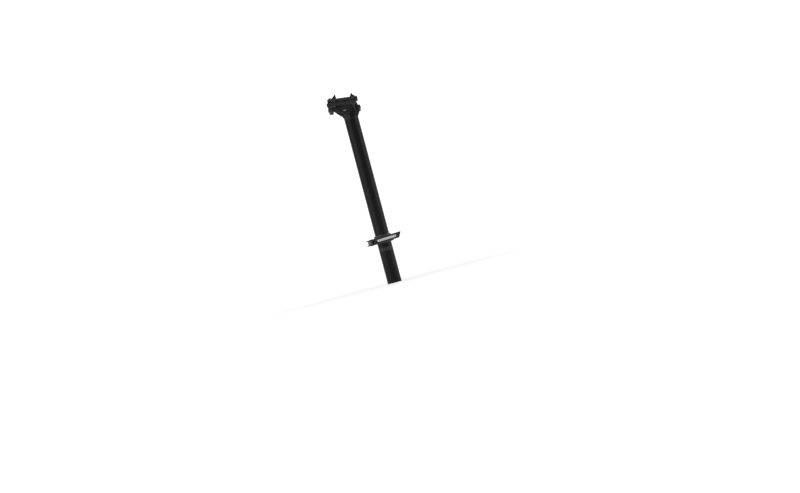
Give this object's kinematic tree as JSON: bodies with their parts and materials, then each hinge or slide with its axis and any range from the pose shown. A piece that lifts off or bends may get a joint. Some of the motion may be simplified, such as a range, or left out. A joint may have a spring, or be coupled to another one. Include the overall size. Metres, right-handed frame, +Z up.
{
  "type": "bicycle seatpost",
  "caption": "Straight round bicycle seatpost with a forged two-bolt saddle clamp at its head and a quick-release collar with lever near its foot.",
  "frame": {"origin": "centre of the tube's lower end, on the tube's axis", "axes": "+Z up the post's axis to the saddle clamp, +X towards the front of the bicycle, +Y to its left"},
  "size_m": [0.0741, 0.0566, 0.368],
  "materials": {
    "post_tube": "satin black anodised",
    "post_head": "forged, fine-blasted, black anodised",
    "lower_cradle": "forged, fine-blasted, black anodised",
    "upper_clamp": "forged, fine-blasted, black anodised",
    "rear_clamp_bolt": "black zinc",
    "front_clamp_bolt": "black zinc",
    "rear_cross_nut": "turned, blackened",
    "front_cross_nut": "turned, blackened",
    "rear_seat_washer": "turned, dark anodised",
    "front_seat_washer": "turned, dark anodised",
    "rear_flat_washer": "zinc plated",
    "front_flat_washer": "zinc plated",
    "collar_band": "gloss black anodised",
    "cam_bush": "moulded black",
    "nut_washer": "black anodised",
    "release_rod": "zinc plated",
    "lever_barrel": "ground, black nickel plated",
    "release_lever": "forged, satin black",
    "lever_panel": "brushed, clear anodised",
    "adjusting_nut": "turned, black anodised",
    "nut_insert": "natural plastic"
  },
  "bodies": {
    "post": {"post_tube": "post_tube", "post_head": "post_head"},
    "cradle": {"lower_cradle": "lower_cradle"},
    "upper": {"upper_clamp": "upper_clamp"},
    "rear_nut": {"rear_cross_nut": "rear_cross_nut"},
    "front_nut": {"front_cross_nut": "front_cross_nut"},
    "rear_seat": {"rear_seat_washer": "rear_seat_washer", "rear_flat_washer": "rear_flat_washer"},
    "front_seat": {"front_seat_washer": "front_seat_washer", "front_flat_washer": "front_flat_washer"},
    "rear_bolt": {"rear_clamp_bolt": "rear_clamp_bolt"},
    "front_bolt": {"front_clamp_bolt": "front_clamp_bolt"},
    "collar": {"collar_band": "collar_band", "cam_bush": "cam_bush", "nut_washer": "nut_washer"},
    "rod": {"release_rod": "release_rod", "lever_barrel": "lever_barrel"},
    "lever": {"release_lever": "release_lever", "lever_panel": "lever_panel"},
    "adjuster": {"adjusting_nut": "adjusting_nut", "nut_insert": "nut_insert"}
  },
  "joints": [
    {"name": "saddle_tilt", "type": "hinge", "parent": "post", "child": "cradle", "pos_m": [0, 0, 0.35], "axis": [0, 1, 0], "range_deg": [-5, 5]},
    {"name": "clamp_lift", "type": "slide", "parent": "cradle", "child": "upper", "axis": [-0.0262, 0, 0.9997], "range_m": [0, 0.0015]},
    {"name": "rear_nut_swivel", "type": "hinge", "parent": "upper", "child": "rear_nut", "pos_m": [-0.02984, 0, 0.35971], "axis": [0, 1, 0], "range_deg": [-4, 4]},
    {"name": "front_nut_swivel", "type": "hinge", "parent": "upper", "child": "front_nut", "pos_m": [0.01413, 0, 0.35431], "axis": [0, 1, 0], "range_deg": [-4.8, 4.8]},
    {"name": "rear_seat_swivel", "type": "hinge", "parent": "post", "child": "rear_seat", "pos_m": [-0.03313, 0, 0.3377], "axis": [0, 1, 0], "range_deg": [-1.4, 1.4]},
    {"name": "front_seat_swivel", "type": "hinge", "parent": "post", "child": "front_seat", "pos_m": [0.0174, 0, 0.33104], "axis": [0, 1, 0], "range_deg": [-0.6, 0.6]},
    {"name": "rear_bolt_turn", "type": "hinge", "parent": "rear_seat", "child": "rear_bolt", "pos_m": [-0.03313, 0, 0.3377], "axis": [0.1478, 0, 0.989], "continuous": true},
    {"name": "front_bolt_turn", "type": "hinge", "parent": "front_seat", "child": "front_bolt", "pos_m": [0.0174, 0, 0.33104], "axis": [-0.1392, 0, 0.9903], "continuous": true},
    {"name": "collar_height", "type": "slide", "parent": "post", "child": "collar", "axis": [0, 0, 1], "range_m": [-0.02, 0.205]},
    {"name": "rod_slide", "type": "slide", "parent": "collar", "child": "rod", "axis": [0, 1, 0], "range_m": [0, 0.0006]},
    {"name": "lever_swing", "type": "hinge", "parent": "rod", "child": "lever", "pos_m": [-0.0233, -0.01982, 0.0828], "axis": [0, 0, -1], "range_deg": [0, 170]},
    {"name": "adjuster_turn", "type": "hinge", "parent": "rod", "child": "adjuster", "pos_m": [-0.0233, 0.012, 0.0828], "axis": [0, 1, 0], "continuous": true}
  ],
  "couplings": [
    {"joint": "rear_nut_swivel", "follows": "saddle_tilt", "ratio": -0.76},
    {"joint": "front_nut_swivel", "follows": "saddle_tilt", "ratio": -0.92},
    {"joint": "rear_seat_swivel", "follows": "saddle_tilt", "ratio": 0.24},
    {"joint": "front_seat_swivel", "follows": "saddle_tilt", "ratio": 0.08},
    {"joint": "lever_swing", "follows": "rod_slide", "rad_per_m": 4940}
  ]
}
